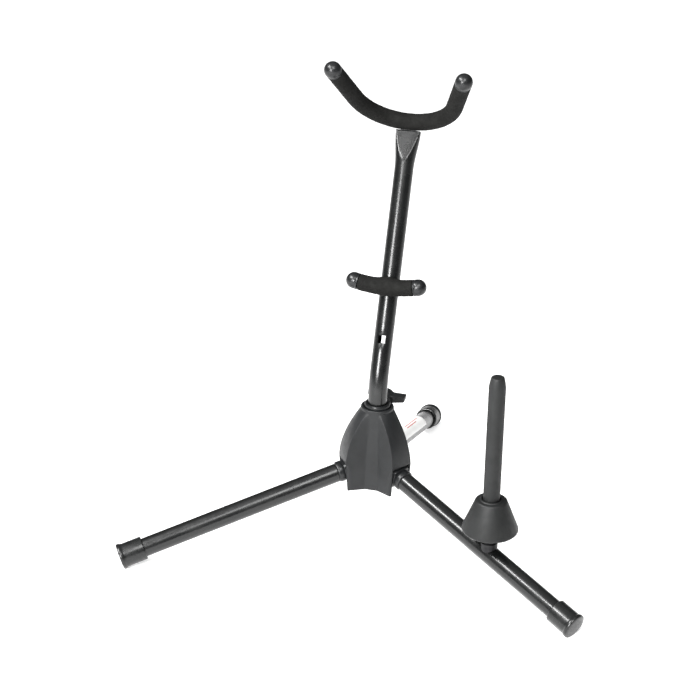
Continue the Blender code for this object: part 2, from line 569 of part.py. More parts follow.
def main():
    for old in list(bpy.data.objects):
        bpy.data.objects.remove(old)
    black_paint = material("black_painted_steel", (0.016, 0.017, 0.019), 0.32)
    plastic = material("black_nylon", (0.055, 0.057, 0.058), 0.55)
    gloss = material("gloss_black_plastic", (0.02, 0.02, 0.022), 0.22)
    foam = material("black_foam_sleeve", (0.035, 0.035, 0.037), 0.85)
    rubber = material("black_rubber", (0.042, 0.044, 0.046), 0.6)
    peg_plastic = material("dark_grey_plastic", (0.055, 0.058, 0.058), 0.6)
    steel = material("zinc_plated_steel", (0.55, 0.55, 0.53), 0.35, 1.0)
    dark_steel = material("black_oxide_steel", (0.03, 0.03, 0.03), 0.4, 1.0)
    white = material("white_label_paper", (0.8, 0.8, 0.8), 0.5)

    hub = empty("hub_axis", (0, HUB_Y, 0))
    make_hub(hub, plastic, steel)
    for side, azimuth in LEG_AZIMUTH.items():
        turn = math.radians(azimuth)
        spot = (PIN_REACH * math.cos(turn), PIN_REACH * math.sin(turn), PIN_Z)
        leg = empty(f"leg_hinge_{side}", spot, (0, LEG_SLOPE, turn), hub)
        tube = make_leg(side, leg, black_paint, plastic, rubber)
        if side == "rear":
            make_label(leg, white)
        if side == "right":
            axis_z = PIN_Z - math.tan(LEG_SLOPE) * (PEG_REACH - PIN_REACH)
            peg = empty("peg_axis", (PEG_REACH * math.cos(turn), PEG_REACH * math.sin(turn), 0), (0, 0, 0), hub)
            make_peg(peg, axis_z, tube, leg, steel, peg_plastic, dark_steel)

    swivel = empty("post_swivel", (0, 0, 0), (0, 0, 0), hub)
    make_bush(swivel, gloss)
    lean_frame = empty("lean_axis", (0, 0, BEND_Z), (-LEAN, 0, 0), swivel)
    make_post(swivel, lean_frame, black_paint)
    upper = empty("upper_yoke_frame", (0, UPPER_YOKE_AT * math.sin(LEAN), BEND_Z + UPPER_YOKE_AT * math.cos(LEAN)),
                  (UPPER_TILT, 0, 0), swivel)
    make_upper_yoke(upper, lean_frame, dark_steel, foam, gloss)
    lower = empty("lower_yoke_slide", (0, 0, LOWER_YOKE_AT), (0, 0, 0), lean_frame)
    make_lower_yoke(lower, dark_steel, foam, gloss)
    clamp = empty("clamp_axis", (0, 0, CLAMP_Z), (math.radians(-90), CLAMP_TURN, 0), hub)
    make_clamp(clamp, steel, plastic)


main()
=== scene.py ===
"""Looks of a folding saxophone stand with a clarinet peg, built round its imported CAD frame."""
import math

import bmesh
import bpy
import numpy as np
from mathutils import Matrix, Vector


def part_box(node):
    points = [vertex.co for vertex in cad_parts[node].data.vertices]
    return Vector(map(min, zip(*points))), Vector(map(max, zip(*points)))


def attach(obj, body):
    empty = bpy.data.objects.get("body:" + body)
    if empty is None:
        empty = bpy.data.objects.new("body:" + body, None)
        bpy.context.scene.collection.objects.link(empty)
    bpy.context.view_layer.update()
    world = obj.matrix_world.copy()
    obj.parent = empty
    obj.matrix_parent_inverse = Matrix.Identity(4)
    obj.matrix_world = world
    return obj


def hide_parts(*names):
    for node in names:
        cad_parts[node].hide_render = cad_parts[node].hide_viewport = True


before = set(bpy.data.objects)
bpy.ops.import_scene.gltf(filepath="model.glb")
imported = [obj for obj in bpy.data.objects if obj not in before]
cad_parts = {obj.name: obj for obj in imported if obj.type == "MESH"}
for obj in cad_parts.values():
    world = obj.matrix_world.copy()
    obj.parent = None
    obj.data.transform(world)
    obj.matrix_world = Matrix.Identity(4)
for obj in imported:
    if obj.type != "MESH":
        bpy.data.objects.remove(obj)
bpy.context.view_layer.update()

# Studio: a backlit white acrylic table under an overhead tent and three softboxes. The camera stands two
# metres off with a long lens, a little right of the stand's front and looking down on it.
MM = 0.001
AIM = Vector((-36.97, -32.98, 193.69)) * MM
VIEW_AZIMUTH = math.radians(14.2819)
VIEW_ELEVATION = math.radians(24.856)
VIEW_ROLL = math.radians(1.0833)
VIEW_DISTANCE = 2007.59 * MM
VIEW_LENS, VIEW_SENSOR = 102.196, 36.0
FLOOR_HALF = 6.0


def linear(code):
    """sRGB hex to linear RGBA: c / 12.92 in the dark toe, ((c + 0.055) / 1.055) ** 2.4 above it."""
    parts = [int(code[i:i + 2], 16) / 255 for i in (1, 3, 5)]
    return (*[part / 12.92 if part <= 0.04045 else ((part + 0.055) / 1.055) ** 2.4 for part in parts], 1.0)


def add_node(tree, kind, inputs=(), **settings):
    """Adds a shader node; inputs gives each socket a constant or the output that drives it."""
    made = tree.nodes.new(kind)
    for name, value in settings.items():
        setattr(made, name, value)
    for socket, value in dict(inputs).items():
        if isinstance(value, bpy.types.NodeSocket):
            tree.links.new(value, made.inputs[socket])
        else:
            made.inputs[socket].default_value = value
    return made


backing = Vector((math.sin(VIEW_AZIMUTH) * math.cos(VIEW_ELEVATION),
                  -math.cos(VIEW_AZIMUTH) * math.cos(VIEW_ELEVATION), math.sin(VIEW_ELEVATION)))
right = (-backing).cross(Vector((0, 0, 1))).normalized()
above = right.cross(-backing)
camera_x = math.cos(VIEW_ROLL) * right + math.sin(VIEW_ROLL) * above
camera_y = -math.sin(VIEW_ROLL) * right + math.cos(VIEW_ROLL) * above
camera_data = bpy.data.cameras.new("studio_camera")
camera_data.lens = VIEW_LENS
camera_data.sensor_width = VIEW_SENSOR
camera = bpy.data.objects.new("studio_camera", camera_data)
bpy.context.collection.objects.link(camera)
camera.matrix_world = (Matrix.Translation(AIM + backing * VIEW_DISTANCE)
                       @ Matrix((camera_x, camera_y, backing)).transposed().to_4x4())
bpy.context.scene.camera = camera
bpy.context.scene.view_settings.view_transform = "Standard"

floor_mesh = bpy.data.meshes.new("floor")
floor_mesh.from_pydata([(-FLOOR_HALF, -FLOOR_HALF, 0), (FLOOR_HALF, -FLOOR_HALF, 0),
                        (FLOOR_HALF, FLOOR_HALF, 0), (-FLOOR_HALF, FLOOR_HALF, 0)], [], [(0, 1, 2, 3)])
floor = bpy.data.objects.new("floor", floor_mesh)
bpy.context.collection.objects.link(floor)
backlit_acrylic = bpy.data.materials.new("backlit_white_acrylic")
backlit_acrylic.use_nodes = True
for socket, value in (("Base Color", linear("#dcdcdc")), ("Roughness", 0.9),
                      ("Emission Color", linear("#ffffff")), ("Emission Strength", 0.54)):
    backlit_acrylic.node_tree.nodes["Principled BSDF"].inputs[socket].default_value = value
floor_mesh.materials.append(backlit_acrylic)

world = bpy.data.worlds.new("overhead_tent")
bpy.context.scene.world = world
world.use_nodes = True
tree = world.node_tree
direction = add_node(tree, "ShaderNodeSeparateXYZ",
                     {"Vector": add_node(tree, "ShaderNodeTexCoord").outputs["Generated"]})
overhead = add_node(tree, "ShaderNodeMapRange", {
    "Value": direction.outputs["Z"], "From Min": 0.55, "From Max": 1.0, "To Min": 0.12, "To Max": 0.5},
    interpolation_type="SMOOTHSTEP")
tree.nodes["Background"].inputs["Color"].default_value = linear("#ffffff")
tree.links.new(overhead.outputs["Result"], tree.nodes["Background"].inputs["Strength"])

LAMP_DISTANCE = 2.2
LAMP_AIM = Vector((0, 0, 0.2))


def softbox(name, azimuth, elevation, width, height, power):
    """Area lamp aimed at the middle of the stand from a direction; its width lies level."""
    azimuth, elevation = math.radians(azimuth), math.radians(elevation)
    toward = Vector((math.sin(azimuth) * math.cos(elevation), -math.cos(azimuth) * math.cos(elevation),
                     math.sin(elevation)))
    level = Vector((math.cos(azimuth), math.sin(azimuth), 0))
    data = bpy.data.lights.new(name, "AREA")
    data.shape, data.size, data.size_y, data.energy = "RECTANGLE", width, height, power
    lamp = bpy.data.objects.new(name, data)
    bpy.context.collection.objects.link(lamp)
    lamp.matrix_world = (Matrix.Translation(toward * LAMP_DISTANCE + LAMP_AIM)
                         @ Matrix((level, toward.cross(level), toward)).transposed().to_4x4())


softbox("left_strip", -55, 50, 1.4, 0.3, 86)
softbox("top_softbox", 22, 50, 0.9, 0.9, 36)
softbox("front_softbox", -11, 20, 0.6, 0.65, 64)

# Hub: a three-lobed housing moulded in black nylon, one lobe over each leg. Its walls are one even
# thickness, the lobes' roofs are gently crowned, and a spark-eroded mould leaves it finely matt.
HUB_LOW, HUB_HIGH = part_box("hub_shell")
BUSH_LOW, BUSH_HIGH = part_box("post_bush")
HUB_AXIS = np.array([0.0, (BUSH_LOW.y + BUSH_HIGH.y) / 2, 0.0])
LEG_AZIMUTHS = {"left": 210.0, "right": 330.0, "rear": 90.0}
ROOF_EDGE = 94.0 * MM
RIDGE_TOP = 148.0 * MM
HUB_WALL = 2.3 * MM


def surface(name, grid, wrap=True, drop=None, sharp=30.0):
    """Mesh object over a grid of points: a quad between each four neighbours, equal points welded.

    wrap joins the last column to the first; drop marks the cells, by row and column, that stay open.
    """
    rows, columns = grid.shape[:2]
    index = np.arange(rows * columns).reshape(rows, columns)
    if wrap:
        index = np.concatenate([index, index[:, :1]], axis=1)
    quads = np.stack([index[:-1, :-1], index[:-1, 1:], index[1:, 1:], index[1:, :-1]], axis=-1)
    quads = quads.reshape(-1, 4) if drop is None else quads[~drop]
    mesh = bpy.data.meshes.new(name)
    mesh.from_pydata(grid.reshape(-1, 3).tolist(), [], quads.tolist())
    shape = bmesh.new()
    shape.from_mesh(mesh)
    bmesh.ops.delete(shape, geom=[corner for corner in shape.verts if not corner.link_faces], context="VERTS")
    bmesh.ops.remove_doubles(shape, verts=shape.verts, dist=0.001 * MM)
    bmesh.ops.recalc_face_normals(shape, faces=shape.faces)
    shape.to_mesh(mesh)
    shape.free()
    mesh.shade_smooth()
    mesh.set_sharp_from_angle(angle=math.radians(sharp))
    made = bpy.data.objects.new(name, mesh)
    bpy.context.collection.objects.link(made)
    return made


def soften(piece, width, segments=2, angle=30.0):
    """Rounds the edges that are sharper than the angle."""
    bevel = piece.modifiers.new("soft edges", "BEVEL")
    bevel.width, bevel.segments = width, segments
    bevel.limit_method, bevel.angle_limit = "ANGLE", math.radians(angle)


def thicken(piece, wall):
    """Gives an open surface an even wall, towards its inside."""
    solid = piece.modifiers.new("wall", "SOLIDIFY")
    solid.thickness, solid.offset, solid.use_even_offset = wall, -1.0, True


def finish(piece, paint, body, slot, *nodes):
    """Gives a piece its material and the body it rides on, and hides the CAD nodes it stands for; slot is not
    used.
    """
    piece.data.materials.append(paint)
    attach(piece, body)
    if nodes:
        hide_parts(*nodes)


def repaint(paint, slot, *nodes):
    """Gives CAD nodes a better material."""
    for name in nodes:
        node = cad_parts[name]
        for place in node.material_slots:
            place.link = "OBJECT"
            place.material = paint


def turn_z(points, degrees):
    """Points turned about Z: x' = x cos a - y sin a, y' = x sin a + y cos a."""
    angle = math.radians(degrees)
    x, y = points[..., 0], points[..., 1]
    return np.stack([x * math.cos(angle) - y * math.sin(angle),
                     x * math.sin(angle) + y * math.cos(angle)], axis=-1)


def lathe(profile, steps=72):
    """Surface of revolution about Z: each (radius, height) in millimetres becomes a circle."""
    radius, height = np.array(profile, dtype=float).T * MM
    turn = np.linspace(0, 2 * np.pi, steps, endpoint=False)
    return np.stack([radius[:, None] * np.cos(turn), radius[:, None] * np.sin(turn),
                     np.repeat(height[:, None], steps, axis=1)], axis=-1)


def placed(grid, matrix):
    """Points carried from a local frame to the row frame: rotation times point, plus translation."""
    whole = np.array(matrix)
    return grid @ whole[:3, :3].T + whole[:3, 3]


def mottled(name, tones, cloud, rough, grain, depth, metallic=0.0, shine=0.5):
    """Principled material with two close tones in soft clouds, roughness that drifts, and a fine grain.

    tones are hex colours, rough is a low and a high roughness, cloud and grain are sizes in metres and
    depth is the height of the grain; shine is the specular level, low where pores swallow the light. A grain
    that is too fine for the view to show is drawn coarser than the real one.
    """
    made = bpy.data.materials.new(name)
    made.use_nodes = True
    tree = made.node_tree
    shader = tree.nodes["Principled BSDF"]
    place = add_node(tree, "ShaderNodeTexCoord").outputs["Object"]
    clouds = add_node(tree, "ShaderNodeTexNoise", {"Vector": place, "Scale": 1 / cloud, "Detail": 3.0})
    ramp = add_node(tree, "ShaderNodeValToRGB", {"Fac": clouds.outputs["Fac"]})
    for element, position, tone in zip(ramp.color_ramp.elements, (0.35, 0.65), tones):
        element.position, element.color = position, linear(tone)
    tree.links.new(ramp.outputs["Color"], shader.inputs["Base Color"])
    drift = add_node(tree, "ShaderNodeTexNoise", {"Vector": place, "Scale": 3 / cloud, "Detail": 1.5})
    spread = add_node(tree, "ShaderNodeMapRange", {"Value": drift.outputs["Fac"], "From Min": 0.3,
                                                   "From Max": 0.7, "To Min": rough[0], "To Max": rough[1]})
    tree.links.new(spread.outputs["Result"], shader.inputs["Roughness"])
    speckle = add_node(tree, "ShaderNodeTexNoise", {"Vector": place, "Scale": 1 / grain, "Detail": 2.0})
    bump = add_node(tree, "ShaderNodeBump", {"Height": speckle.outputs["Fac"], "Distance": depth,
                                             "Strength": 1.0})
    tree.links.new(bump.outputs["Normal"], shader.inputs["Normal"])
    shader.inputs["Metallic"].default_value = metallic
    shader.inputs["Specular IOR Level"].default_value = shine
    return made


def hub_outline(heights, panel_steps=14, wall_steps=5, web_steps=4):
    """Plan outline of the hub at each height, and which columns are the lobes' fronts.

    With u from 0 at the roofs' lower edge to 1 at the ridges' top, each lobe reaches 13.3 + 22.1 (1 - u^1.89)
    and its panel bulges by b (1 - s^2) over its width; a straight wall then runs to a flat web and back.
    """
    up = np.clip((heights - ROOF_EDGE) / (RIDGE_TOP - ROOF_EDGE), 0, 1)[:, None]
    down = np.clip((ROOF_EDGE - heights) / (ROOF_EDGE - HUB_LOW.z), 0, 1)[:, None]
    reach = (13.3 + 22.1 * (1 - up ** 1.89) - 2.4 * down) * MM
    half = (13.6 - 3.5 * up) * MM
    bulge = (0.6 + 2.8 * up ** 2) * MM
    web_x, web_y = (20.0 - 4.0 * up) * MM, (6.3 - 2.3 * up) * MM
    across = np.linspace(-1, 1, panel_steps + 1)[None, :]
    panel = np.stack([reach + bulge * (1 - across ** 2), half * across], axis=-1)
    corner = turn_z(panel[:, -1:], -60)
    crease = np.stack([web_x, -web_y], axis=-1)
    share = (np.arange(1, wall_steps) / wall_steps)[None, :, None]
    wall = corner + (crease - corner) * share
    step = np.stack([0 * web_x, 2 * web_y], axis=-1)
    web = crease + step * (np.arange(web_steps + 1) / web_steps)[None, :, None]
    side = turn_z(np.concatenate([wall, web, wall[:, ::-1] * np.array([1, -1])], axis=1), 60)
    sector = np.concatenate([panel, side], axis=1)
    plan = np.concatenate([turn_z(sector, azimuth) for azimuth in LEG_AZIMUTHS.values()], axis=1)
    levels = np.broadcast_to(heights[:, None, None], plan.shape[:2] + (1,))
    fronts = np.tile(np.arange(sector.shape[1]) < panel_steps, len(LEG_AZIMUTHS))
    return np.concatenate([plan, levels], axis=-1) + HUB_AXIS, fronts


# Nylon off a spark-eroded mould: dark grey and evenly matt, with a soft sheen along the ridges.
moulded_nylon = mottled("moulded_black_nylon", ("#131415", "#18191a"), 22 * MM, (0.42, 0.52), 0.5 * MM,
                        0.05 * MM, shine=0.3)
hub_heights = np.concatenate([np.linspace(HUB_LOW.z, ROOF_EDGE, 13),
                              np.linspace(ROOF_EDGE, RIDGE_TOP, 42)[1:], [HUB_HIGH.z - 0.7 * MM]])
hub_grid, fronts = hub_outline(hub_heights)
rim = hub_grid[-1] - HUB_AXIS
rim[:, 2] = 0
rim /= np.linalg.norm(rim, axis=1)[:, None]
lip = [rim * radius * MM + HUB_AXIS + np.array([0, 0, HUB_HIGH.z - drop * MM])
       for radius, drop in ((16.0, 0.1), (15.5, 0.0), (14.6, 0.0), (13.9, 0.5), (13.5, 1.4))]
hub_grid = np.concatenate([hub_grid, np.array(lip)])
open_fronts = (hub_grid[:-1, 0, 2] < ROOF_EDGE - 0.1 * MM)[:, None] & fronts[None, :]
hub_skin = surface("hub_skin", hub_grid, drop=open_fronts)
soften(hub_skin, 0.9 * MM, 3, 25)
thicken(hub_skin, HUB_WALL)
finish(hub_skin, moulded_nylon, "hub", "black_nylon", "hub_shell")

top, low = HUB_HIGH.z / MM, HUB_LOW.z / MM + 4.5
core_bore, bush_bore, core_step = 10.2, 12.45, 104.2
hub_core = surface("hub_core", lathe([(core_bore, low), (13.0, low), (13.0, top - 6), (14.4, top - 3.5),
                                      (14.4, top - 0.8), (13.45, top - 0.8), (13.45, top - 2.3),
                                      (bush_bore, top - 2.3), (bush_bore, core_step), (core_bore, core_step),
                                      (core_bore, low)]) + HUB_AXIS)
soften(hub_core, 0.3 * MM)
finish(hub_core, moulded_nylon, "hub", "black_nylon", "hub_shell")

# Boss behind the hub's neck: a short round barrel of the same nylon, moulded in one piece with the hub, with
# a deep seat that holds the clamp nut.
NUT_LOW, NUT_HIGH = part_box("clamp_nut")
clamp_frame = (Matrix.Translation((0, HUB_AXIS[1], (NUT_LOW.z + NUT_HIGH.z) / 2))
               @ Matrix.Rotation(math.radians(-90), 4, "X"))
boss_r, boss_start, boss_end, screw_bore = 6.8, 11, (NUT_HIGH.y - HUB_AXIS[1]) / MM, 3.3
nut_seat, nut_seat_r = boss_end - 4.9, 6.1
boss_profile = [(screw_bore, boss_start), (boss_r, boss_start), (boss_r, boss_end - 0.7),
                (boss_r - 0.7, boss_end), (nut_seat_r, boss_end), (nut_seat_r, nut_seat),
                (screw_bore, nut_seat), (screw_bore, boss_start)]
clamp_boss = surface("clamp_boss", placed(lathe(boss_profile), clamp_frame))
finish(clamp_boss, moulded_nylon, "hub", "black_nylon", "hub_shell")

# Base plate, its three screws and the hinge pins: the plate is the hub's nylon, the hardware is zinc plated.
# Bright zinc plate: pale silver with a thin satin haze.
zinc_plate = mottled("bright_zinc_plated_steel", ("#a9aaa6", "#b8b8b2"), 6 * MM, (0.26, 0.4), 0.3 * MM,
                     0.01 * MM, metallic=1.0)
repaint(moulded_nylon, "black_nylon", "hub_base_plate")
repaint(zinc_plate, "zinc_steel", "base_plate_screw_1", "base_plate_screw_2", "base_plate_screw_3",
        "leg_pin_left", "leg_pin_right", "leg_pin_rear", "clamp_nut", "clamp_screw")

# Split bush: a moulded sleeve of polished black plastic that sits in the hub's neck with its flange on top.
# It is slit down one side so that the clamp can close it on the post.
SLIT_AZIMUTH, SLIT_WIDTH, BUSH_R, BUSH_BORE, BUSH_FOOT = math.radians(135), 2 * MM, 12, 9.85, 110
# Polished plastic: deep black with one soft, clear highlight.
gloss_plastic = mottled("polished_black_plastic", ("#0f1011", "#141516"), 14 * MM, (0.29, 0.37), 0.8 * MM,
                        0.004 * MM, shine=0.36)


def split_lathe(profile, slit_at, slit_width, steps=72):
    """Closed profile turned about Z by less than a full turn; the gap is slit_width wide at every radius."""
    radius, height = np.array(profile, dtype=float).T * MM
    gap = np.arcsin(slit_width / 2 / radius)
    share = np.linspace(0, 1, steps)[:, None]
    turn = slit_at + gap + (2 * np.pi - 2 * gap) * share
    return np.stack([radius * np.cos(turn), radius * np.sin(turn), np.broadcast_to(height, turn.shape)],
                    axis=-1)


def capped(grid, both=True):
    """Closes a grid's last ring, and its first if both is set, with a row of points at the ring's mean."""
    middles = np.broadcast_to(grid.mean(axis=1, keepdims=True), grid.shape)
    return np.concatenate([middles[:int(both)], grid, middles[-1:]])


flange = BUSH_HIGH.z / MM
bush_profile = [(BUSH_BORE, BUSH_FOOT), (BUSH_R, BUSH_FOOT), (BUSH_R, flange - 5.4), (13, flange - 5.4),
                (13, flange - 1.6), (12.8, flange - 0.9), (12.4, flange - 0.3), (11.7, flange),
                (10.8, flange), (10.2, flange - 0.3), (BUSH_BORE, flange - 1)]
bush_rows = split_lathe(bush_profile, SLIT_AZIMUTH, SLIT_WIDTH)
bush_piece = surface("post_bush_sleeve", capped(bush_rows) + HUB_AXIS)
finish(bush_piece, gloss_plastic, "bush", "gloss_black_plastic", "post_bush")

# Post: the same painted steel tube as the legs, bent to lean back and pressed flat at the top, where a
# tongue carries the upper yoke. Two square holes go through it, one with the lower yoke's plug in it.
BEND_Z, LEAN, BEND_R = 174.1 * MM, math.radians(24.0), 77.0 * MM
TUBE_R, TUBE_WALL = 9.5, 1.2
POST_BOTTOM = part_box("post_tube")[0].z
SPARE_HOLE_AT, LOWER_YOKE_AT, HOLE_HALF = 45.0, 96.9, 4.0
FLARE_START, FLARE_LENGTH, FLAT_START, FLAT_LENGTH, SHOULDER_AT = 216, 38, 225, 28, 254.2
SIDE_COLUMNS, HOLE_COLUMNS = 30, 6
# Stove enamel on drawn steel: near black and smooth, with a long bright stripe down each tube.
black_enamel = mottled("black_stove_enamel_on_steel", ("#0b0c0c", "#0f1010"), 40 * MM, (0.22, 0.29), 1.6 * MM,
                       0.003 * MM, shine=0.45)


def post_axis(along):
    """Points and lean angles on the post's centre line, at distances along it from where its two axes cross.

    Straight up to the bend, a circular arc of radius BEND_R, then straight at LEAN from upright.
    """
    half = BEND_R * math.tan(LEAN / 2)
    turned = np.clip((along + half) / (2 * half), 0, 1) * LEAN
    upright = np.minimum(along + half, 0)
    rest = np.maximum(along, half)
    arc_y = BEND_R * (1 - np.cos(turned))
    arc_z = BEND_Z - half + BEND_R * np.sin(turned) + upright
    leaning = along >= half
    y = np.where(leaning, rest * math.sin(LEAN), arc_y)
    z = np.where(leaning, BEND_Z + rest * math.cos(LEAN), arc_z)
    return np.stack([0 * y, y, z], axis=-1) + HUB_AXIS, turned


def oval(half_width, half_depth, power, turn):
    """Superellipse: x = w sign(c) |c|^(2/p), y = d sign(s) |s|^(2/p), with c, s turn's cosine and sine."""
    across, deep = np.cos(turn), np.sin(turn)
    power = 2 / np.asarray(power)[..., None]
    return (np.asarray(half_width)[..., None] * np.sign(across) * np.abs(across) ** power,
            np.asarray(half_depth)[..., None] * np.sign(deep) * np.abs(deep) ** power)


hole = math.degrees(math.asin(HOLE_HALF / TUBE_R))
columns = np.radians(np.concatenate([np.linspace(start, end, count, endpoint=False) for start, end, count in (
    (-90 + hole, 90 - hole, SIDE_COLUMNS), (90 - hole, 90 + hole, HOLE_COLUMNS),
    (90 + hole, 270 - hole, SIDE_COLUMNS), (270 - hole, 270 + hole, HOLE_COLUMNS))]))
at = np.concatenate([[(POST_BOTTOM - BEND_Z) / MM], np.linspace(-16.4, 16.4, 19), [22, 31],
                     SPARE_HOLE_AT + np.linspace(-HOLE_HALF, HOLE_HALF, 4), [60, 75, 90],
                     LOWER_YOKE_AT + np.linspace(-HOLE_HALF, HOLE_HALF, 4), [110, 130, 160, 190, 206],
                     np.linspace(FLARE_START, 252.6, 19), [253.6, SHOULDER_AT, SHOULDER_AT, 254.6, 258.4]])
ease = np.clip((at - FLARE_START) / FLARE_LENGTH, 0, 1)
wide = TUBE_R + 3.2 * ease * ease * (3 - 2 * ease)
flat = TUBE_R - 5.9 * np.clip((at - FLAT_START) / FLAT_LENGTH, 0, 1)
# The last five stations are the shoulder's rounded rim and the tongue above it.
wide[-5:], flat[-5:] = [12.55, 12.1, 8.0, 7.5, 7.5], [3.5, 3.0, 2.6, 2.5, 2.5]
boxy = np.where(at >= SHOULDER_AT, 8.0, 2.0)
axis, lean = post_axis(at * MM)
x, y = oval(wide * MM, np.full(len(at), TUBE_R) * MM, boxy, columns)
y = np.clip(y, -flat[:, None] * MM, flat[:, None] * MM)
post_grid = axis[:, None] + np.stack([x, y * np.cos(lean)[:, None], -y * np.sin(lean)[:, None]], axis=-1)
post_grid = capped(post_grid, both=False)
in_hole = np.zeros((len(post_grid) - 1, len(columns)), dtype=bool)
hole_columns = np.arange(HOLE_COLUMNS) + SIDE_COLUMNS
hole_columns = np.concatenate([hole_columns, hole_columns + SIDE_COLUMNS + HOLE_COLUMNS])
for middle in (SPARE_HOLE_AT, LOWER_YOKE_AT):
    rows = np.flatnonzero((at[:-1] > middle - HOLE_HALF - 0.1) & (at[1:] < middle + HOLE_HALF + 0.1))
    in_hole[np.ix_(rows, hole_columns)] = True
post_piece = surface("post_tube_bent", post_grid, drop=in_hole)
thicken(post_piece, TUBE_WALL * MM)
soften(post_piece, 0.35 * MM, 2, 40)
finish(post_piece, black_enamel, "post", "black_painted_steel", "post_tube")

# Upper yoke: a bent rod of black steel, fixed across the post's tongue, in a thick sleeve of extruded foam.
# A glossy domed cap is pushed on each tip and closes the sleeve.
ROD_R, SLEEVE_R, END_SKIRT = 4.0, 8.5, 5.0
UPPER_ARC_R, UPPER_ARM, SPLAY = 52.0, 51.0, math.radians(16.7)
UPPER_YOKE_AT, UPPER_TILT = 262.9, math.radians(42)
END_GAP, BORE_GAP, EDGE_INSETS = 0.3, 0.05, np.array([0.0, 0.0, 0.25, 0.9])
yoke_at, _ = post_axis(np.array([UPPER_YOKE_AT * MM]))
upper_frame = Matrix.Translation(yoke_at[0]) @ Matrix.Rotation(UPPER_TILT, 4, "X")
# Closed-cell foam: flat black, its pores swallow the light.
foam_sleeve = mottled("closed_cell_foam_rubber", ("#0d0d0c", "#131312"), 9 * MM, (0.75, 0.9), 0.5 * MM,
                      0.12 * MM, shine=0.12)
# Oxide-blacked steel: dark grey metal with a dull shine.
black_oxide = mottled("black_oxide_steel", ("#2b2b2c", "#363637"), 7 * MM, (0.34, 0.48), 0.3 * MM, 0.01 * MM,
                      metallic=1.0)


def upper_axis(along):
    """Points and tangents of the upper yoke in its XZ plane: an arc of UPPER_ARC_R, then straight arms.

    The arc is R sin(t) along X and R (1 - cos(t)) up, with t the distance over R; the arms go on at its end.
    """
    quarter = math.pi / 2 - SPLAY
    turned = np.clip(along / UPPER_ARC_R, -quarter, quarter)
    beyond = along - turned * UPPER_ARC_R
    tangent = np.stack([np.cos(turned), 0 * turned, np.sin(turned)], axis=-1)
    arm = np.stack([np.cos(turned) * np.sign(beyond), 0 * turned, np.sin(turned) * np.sign(beyond)], axis=-1)
    start = np.stack([UPPER_ARC_R * np.sin(turned), 0 * turned, UPPER_ARC_R * (1 - np.cos(turned))], axis=-1)
    return start + arm * np.abs(beyond)[:, None], tangent


def sweep(points, tangents, side, lift, steps=48):
    """Rings round a path in the XZ plane: point + n (lift cos t) + Y (side sin t), with n = tangent x Y."""
    normal = np.cross(tangents, [0.0, 1.0, 0.0])
    turn = np.linspace(0, 2 * np.pi, steps, endpoint=False)
    return (points[:, None] + normal[:, None] * (lift[..., None] * np.cos(turn))[..., None]
            + np.array([0.0, 1.0, 0.0]) * (side[..., None] * np.sin(turn))[..., None])


def with_ends(middle, end):
    """Stations along a sleeve: the end's stations, the middle, then the end's stations mirrored."""
    return np.concatenate([-end, middle, end[::-1]])


UPPER_END = UPPER_ARC_R * (math.pi / 2 - SPLAY) + UPPER_ARM
reach = UPPER_END - END_SKIRT - END_GAP
edge = reach - EDGE_INSETS
edge_r = np.array([ROD_R + BORE_GAP, SLEEVE_R - 0.9, SLEEVE_R - 0.3, SLEEVE_R])
bore = np.linspace(reach, -reach, 60)
along = with_ends(np.linspace(-reach + 2.5, reach - 2.5, 140), edge)
ripple = 0.06 * np.sin(along * 0.9) + 0.05 * np.sin(along * 0.37 + 1.3)
radii = np.concatenate([edge_r, SLEEVE_R - 0.06 + ripple[4:-4] * 0.9, edge_r[::-1],
                        np.full(len(bore), ROD_R + BORE_GAP)])
along = np.concatenate([along, bore])
points, tangents = upper_axis(along)
upper_sleeve = surface("upper_foam_sleeve", placed(sweep(points * MM, tangents, radii * MM, radii * MM),
                                                   upper_frame))
finish(upper_sleeve, foam_sleeve, "post", "black_foam", "upper_yoke_sleeve")
repaint(black_oxide, "black_steel_rod", "upper_yoke_rod")


def cap_profile(radius, rod):
    """Domed end cap: a short skirt with a beaded mouth, a fine parting groove and a quarter-round dome."""
    dome = [(radius * math.cos(math.radians(a)), radius * math.sin(math.radians(a))) for a in range(6, 91, 6)]
    dome[-1] = (0, radius)
    return [(0, 1), (rod + 0.3, 1), (rod + 0.3, -END_SKIRT), (radius - 0.5, -END_SKIRT), (radius, -4.6),
            (radius, -3.7), (radius - 0.35, -3.4), (radius - 0.35, -3.1), (radius - 0.1, -2.8),
            (radius, -1.5), (radius, 0)] + dome


for side, sign in (("left", -1), ("right", 1)):
    tip, _ = upper_axis(np.array([sign * UPPER_END]))
    matrix = upper_frame @ Matrix.Translation(tip[0] * MM) @ Matrix.Rotation(sign * SPLAY, 4, "Y")
    cap = surface(f"upper_tip_cap_{side}", placed(lathe(cap_profile(SLEEVE_R, ROD_R)), matrix), sharp=50)
    finish(cap, gloss_plastic, "post", "gloss_black_plastic", f"upper_yoke_cap_{side}")

# Lower yoke: a short steel bar on a plug that is pushed into one of the post's square holes. Its foam sleeve
# swells in the middle, where it covers the plug's root, and the same domed caps close it.
LOWER_ROD_R, LOWER_SLEEVE_R, LOWER_HALF, LOWER_AHEAD, LOWER_SAG = 3.5, 8.3, 32.5, 18.4, 3.2
SWELL_HALF, SWELL_BELOW, SWELL_ABOVE = 8.7, 2.0, 0.6
lower_at, _ = post_axis(np.array([LOWER_YOKE_AT * MM]))
lower_frame = (Matrix.Translation(lower_at[0]) @ Matrix.Rotation(-LEAN, 4, "X")
               @ Matrix.Translation((0, -LOWER_AHEAD * MM, 0)))


